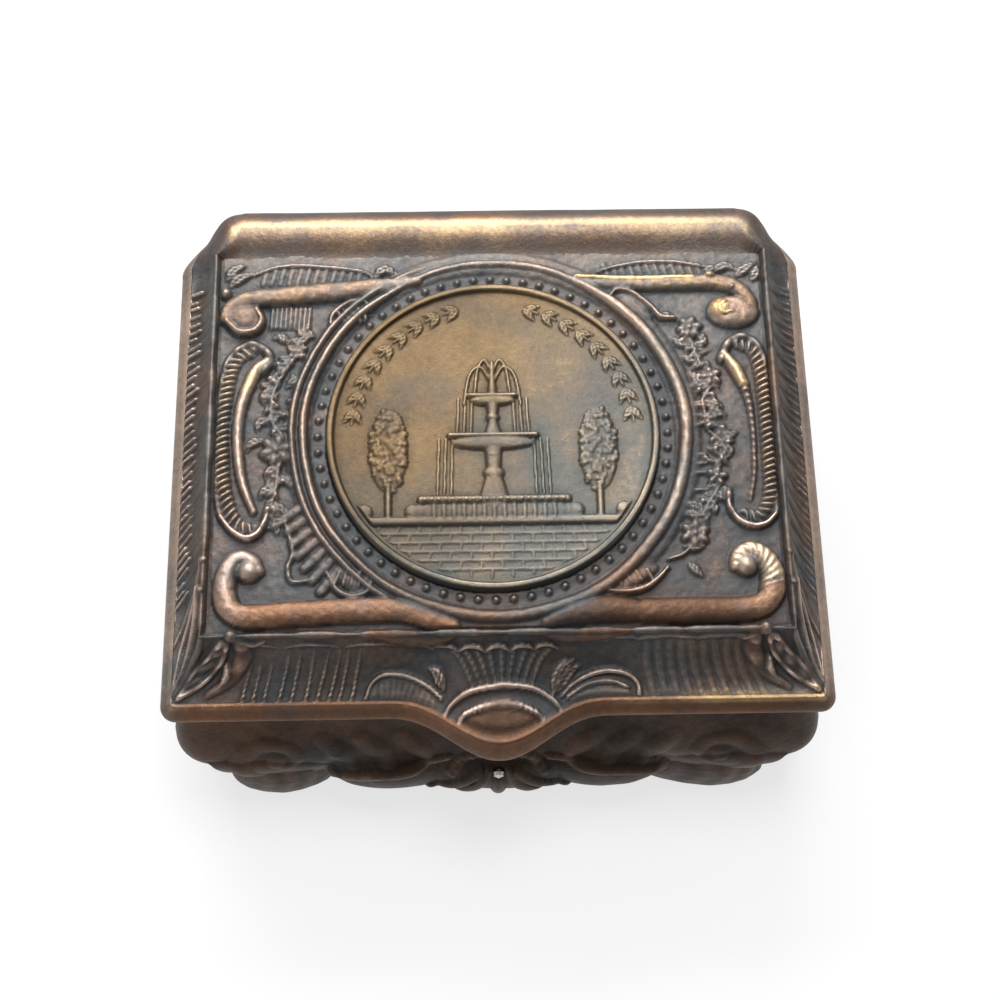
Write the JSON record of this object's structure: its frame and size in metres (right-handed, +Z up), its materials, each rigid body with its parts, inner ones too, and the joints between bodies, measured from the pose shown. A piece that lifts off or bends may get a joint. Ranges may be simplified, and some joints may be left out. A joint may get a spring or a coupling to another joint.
{
  "type": "trinket box",
  "caption": "Small rectangular metal trinket box with a swelling case on scroll feet, a coved lid hinged at the back with a round medallion and scrollwork, and a lined inside.",
  "frame": {"origin": "on the table under the middle of the box", "axes": "+X to the right along the width, +Y to the back where the hinge is, +Z up"},
  "size_m": [0.0606, 0.0544, 0.0249],
  "materials": {
    "case_copper": "dark patinated copper, worn on the high spots",
    "lid_copper": "patinated copper, dark in the recesses and rubbed bright on the ridges",
    "medallion_bronze": "struck bronze, golden brown to olive grey",
    "hinge_brass": "dulled brass",
    "pin_steel": "drawn wire",
    "velvet": "short-pile velvet",
    "card": "plain card",
    "felt": "thin pressed felt"
  },
  "bodies": {
    "case": {"case_shell": "case_copper", "bottom_plate": "case_copper", "base_felt": "felt", "floor_card": "card", "floor_pad": "velvet", "lining_left": "velvet", "lining_right": "velvet", "lining_front": "velvet", "lining_back": "velvet", "front_stud": "pin_steel", "hinge_leaf_case": "hinge_brass", "hinge_pin": "pin_steel", "foot_front_left": "case_copper", "foot_front_right": "case_copper", "foot_back_left": "case_copper", "foot_back_right": "case_copper"},
    "lid": {"lid_shell": "lid_copper", "medallion_disc": "medallion_bronze", "hinge_leaf_lid": "hinge_brass", "lid_card": "card", "lid_pad": "velvet"}
  },
  "joints": [
    {"name": "lid_hinge", "type": "hinge", "parent": "case", "child": "lid", "pos_m": [0, 0.02598, 0.0169], "axis": [-1, 0, 0], "range_deg": [0, 105]}
  ]
}
